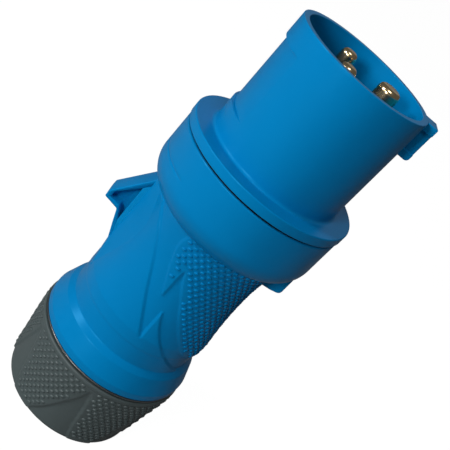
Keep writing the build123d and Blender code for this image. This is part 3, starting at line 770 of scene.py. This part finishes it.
class PLUG_OT_gasket(bpy.types.Operator):
    """Black gasket between nut and handle, with a bead round its edge."""

    bl_idname = "plug.gasket"
    bl_label = "Gasket"

    def execute(self, context):
        low = FOOT - 1.15
        path = rounded([
            (21.7, low, 0.1), (25.4, low, 0.1), (25.4, low + 0.35, 0.1), (26.12, low + 0.35, 0.33),
            (26.12, low + 1.0, 0.33), (25.5, low + 1.0, 0.1), (25.5, FOOT, 0.1), (21.7, FOOT, 0.1)],
            [3, 1, 1, 1, 1, 1, 3, 2], arc=8)
        shell = skin(turned(path, lambda az, r, z, k: r, 240), wrap=True)
        make_piece("gasket_bead", "plug", finish_of("glossy_rubber"), [shell], ["flange_gasket"])
        return {"FINISHED"}


class PLUG_OT_small_parts(bpy.types.Operator):
    """Gives the smaller CAD parts their finishes."""

    bl_idname = "plug.small_parts"
    bl_label = "Small parts"

    def execute(self, context):
        finishes = {
            "front_seal": "black_rubber", "cable_grommet": "black_rubber",
            "contact_carrier": "carrier_grey", "carrier_back": "carrier_grey", "carrier_ring": "natural_polyamide",
            "clamp_cage": "natural_polyamide", "thrust_ring": "natural_polyamide",
        }
        for pole in ("earth", "line", "neutral"):
            finishes[f"{pole}_screw"] = finishes[f"{pole}_wire_guard"] = "zinc_steel"
        for name, finish in finishes.items():
            nodes[name].data.materials.clear()
            nodes[name].data.materials.append(finish_of(finish))
        return {"FINISHED"}


class PLUG_OT_stage(bpy.types.Operator):
    """White floor, even surround, four soft lamps and the camera."""

    bl_idname = "plug.stage"
    bl_label = "Stage"

    def execute(self, context):
        scene, look = context.scene, context.scene.plug_finish
        scene.view_settings.view_transform = "Standard"
        self.floor(scene)
        self.world(scene, look)
        # Level directions of the picture: to its left, towards the camera, and upwards
        left, front, up = np.array([-0.984, 0.176, 0]), np.array([-0.176, -0.984, 0]), np.array([0, 0, 1.0])
        middle = np.array([0, 0, 0.085])
        powers = {"key_lamp": look.key_light, "top_lamp": look.top_light, "front_lamp": look.front_light,
                  "rear_lamp": look.rear_light}
        for name, (a, b, c, width, height) in LAMPS.items():
            self.lamp(name, powers[name], middle + a * left + b * front + c * up, middle, width, height)
        self.camera(scene)
        return {"FINISHED"}

    def floor(self, scene):
        size = 3.0
        mesh = bpy.data.meshes.new("floor")
        mesh.from_pydata([(-size, -size, 0), (size, -size, 0), (size, size, 0), (-size, size, 0)], [],
                         [(0, 1, 2, 3)])
        mesh.update()
        mat = bpy.data.materials.new("white_floor")
        mat.use_nodes = True
        tree = mat.node_tree
        shader = tree.nodes["Principled BSDF"]
        shader.inputs["Roughness"].default_value = 0.9
        tone = node(tree, "ShaderNodeMix", data_type="RGBA")
        tone.inputs[6].default_value = (0.3, 0.3, 0.3, 1)
        tone.inputs[7].default_value = (0.8, 0.8, 0.8, 1)
        place = node(tree, "ShaderNodeTexCoord")
        grain = node(tree, "ShaderNodeTexNoise", Scale=300.0, Detail=2.0)
        bump = node(tree, "ShaderNodeBump", Strength=0.05, Distance=0.0002)
        path = node(tree, "ShaderNodeLightPath")
        part = node(tree, "ShaderNodeMath", operation="MULTIPLY")
        part.inputs[1].default_value = 0.9
        white = node(tree, "ShaderNodeEmission", Color=(1, 1, 1, 1), Strength=1.09)
        mix = node(tree, "ShaderNodeMixShader")
        link = tree.links.new
        link(place.outputs["Object"], grain.inputs["Vector"])
        link(grain.outputs["Fac"], bump.inputs["Height"])
        link(bump.outputs["Normal"], shader.inputs["Normal"])
        link(path.outputs["Is Camera Ray"], tone.inputs[0])
        link(tone.outputs[2], shader.inputs["Base Color"])
        link(path.outputs["Is Camera Ray"], part.inputs[0])
        link(part.outputs[0], mix.inputs[0])
        link(shader.outputs[0], mix.inputs[1])
        link(white.outputs[0], mix.inputs[2])
        link(mix.outputs[0], tree.nodes["Material Output"].inputs["Surface"])
        mesh.materials.append(mat)
        obj = bpy.data.objects.new("floor", mesh)
        scene.collection.objects.link(obj)

    def world(self, scene, look):
        world = bpy.data.worlds.new("surround")
        scene.world = world
        world.use_nodes = True
        tree = world.node_tree
        back = tree.nodes["Background"]
        path = node(tree, "ShaderNodeLightPath")
        mirrored = node(tree, "ShaderNodeMapRange")
        mirrored.inputs["To Min"].default_value = look.surround
        mirrored.inputs["To Max"].default_value = look.mirrored
        strength = node(tree, "ShaderNodeMapRange")
        strength.inputs["To Max"].default_value = 1.0
        back.inputs["Color"].default_value = (1, 1, 1, 1)
        link = tree.links.new
        link(path.outputs["Is Glossy Ray"], mirrored.inputs["Value"])
        link(mirrored.outputs["Result"], strength.inputs["To Min"])
        link(path.outputs["Is Camera Ray"], strength.inputs["Value"])
        link(strength.outputs["Result"], back.inputs["Strength"])

    def lamp(self, name, power, place, target, width, height):
        data = bpy.data.lights.new(name, "AREA")
        data.shape = "RECTANGLE"
        data.size, data.size_y, data.energy = width, height, power
        obj = bpy.data.objects.new(name, data)
        bpy.context.scene.collection.objects.link(obj)
        back = (place - target) / np.linalg.norm(place - target)
        side = np.cross([0, 0, 1.0], back)
        side /= np.linalg.norm(side)
        rows = np.column_stack([side, np.cross(back, side), back])
        obj.matrix_world = Matrix.Translation(place.tolist()) @ Matrix(rows.tolist()).to_4x4()

    def camera(self, scene):
        """Yaw, pitch and roll of the view, worked out from the picture's circles."""
        yaw, pitch, roll = (math.radians(angle) for angle in CAMERA_TURN)
        ahead = np.array([math.sin(yaw) * math.cos(pitch), math.cos(yaw) * math.cos(pitch), -math.sin(pitch)])
        level = np.array([math.cos(yaw), -math.sin(yaw), 0])
        above = np.cross(level, ahead)
        right = math.cos(roll) * level + math.sin(roll) * above
        high = -math.sin(roll) * level + math.cos(roll) * above
        data = bpy.data.cameras.new("camera")
        data.sensor_width, data.lens = 36.0, CAMERA_LENS
        data.clip_start, data.clip_end = 0.01, 10.0
        obj = bpy.data.objects.new("camera", data)
        scene.collection.objects.link(obj)
        rows = np.column_stack([right, high, -ahead])
        obj.matrix_world = Matrix.Translation(CAMERA_PLACE) @ Matrix(rows.tolist()).to_4x4()
        scene.camera = obj


class PLUG_PT_panel(bpy.types.Panel):
    """Sizes, finishes and the steps that build the plug."""

    bl_idname = "PLUG_PT_panel"
    bl_label = "Pin and sleeve plug"
    bl_space_type = "VIEW_3D"
    bl_region_type = "UI"
    bl_category = "Plug"

    def draw(self, context):
        for group in (context.scene.plug_sizes, context.scene.plug_finish):
            for prop in group.bl_rna.properties:
                if prop.identifier not in {"rna_type", "name"}:
                    self.layout.prop(group, prop.identifier)
        for operator in OPERATORS:
            self.layout.operator(operator.bl_idname)


OPERATORS = (
    PLUG_OT_housing, PLUG_OT_sleeve, PLUG_OT_nut, PLUG_OT_grip_dots, PLUG_OT_pins, PLUG_OT_gasket,
    PLUG_OT_small_parts, PLUG_OT_stage,
)
CLASSES = (PlugSizes, PlugFinish) + OPERATORS + (PLUG_PT_panel,)


def register():
    for cls in CLASSES:
        bpy.utils.register_class(cls)
    bpy.types.Scene.plug_sizes = PointerProperty(type=PlugSizes)
    bpy.types.Scene.plug_finish = PointerProperty(type=PlugFinish)


def unregister():
    del bpy.types.Scene.plug_finish
    del bpy.types.Scene.plug_sizes
    for cls in reversed(CLASSES):
        bpy.utils.unregister_class(cls)


def main():
    register()
    bpy.ops.plug.stage()
    bpy.ops.plug.housing()
    bpy.ops.plug.sleeve()
    bpy.ops.plug.nut()
    bpy.ops.plug.grip_dots()
    bpy.ops.plug.pins()
    bpy.ops.plug.gasket()
    bpy.ops.plug.small_parts()


if __name__ == "__main__":
    main()
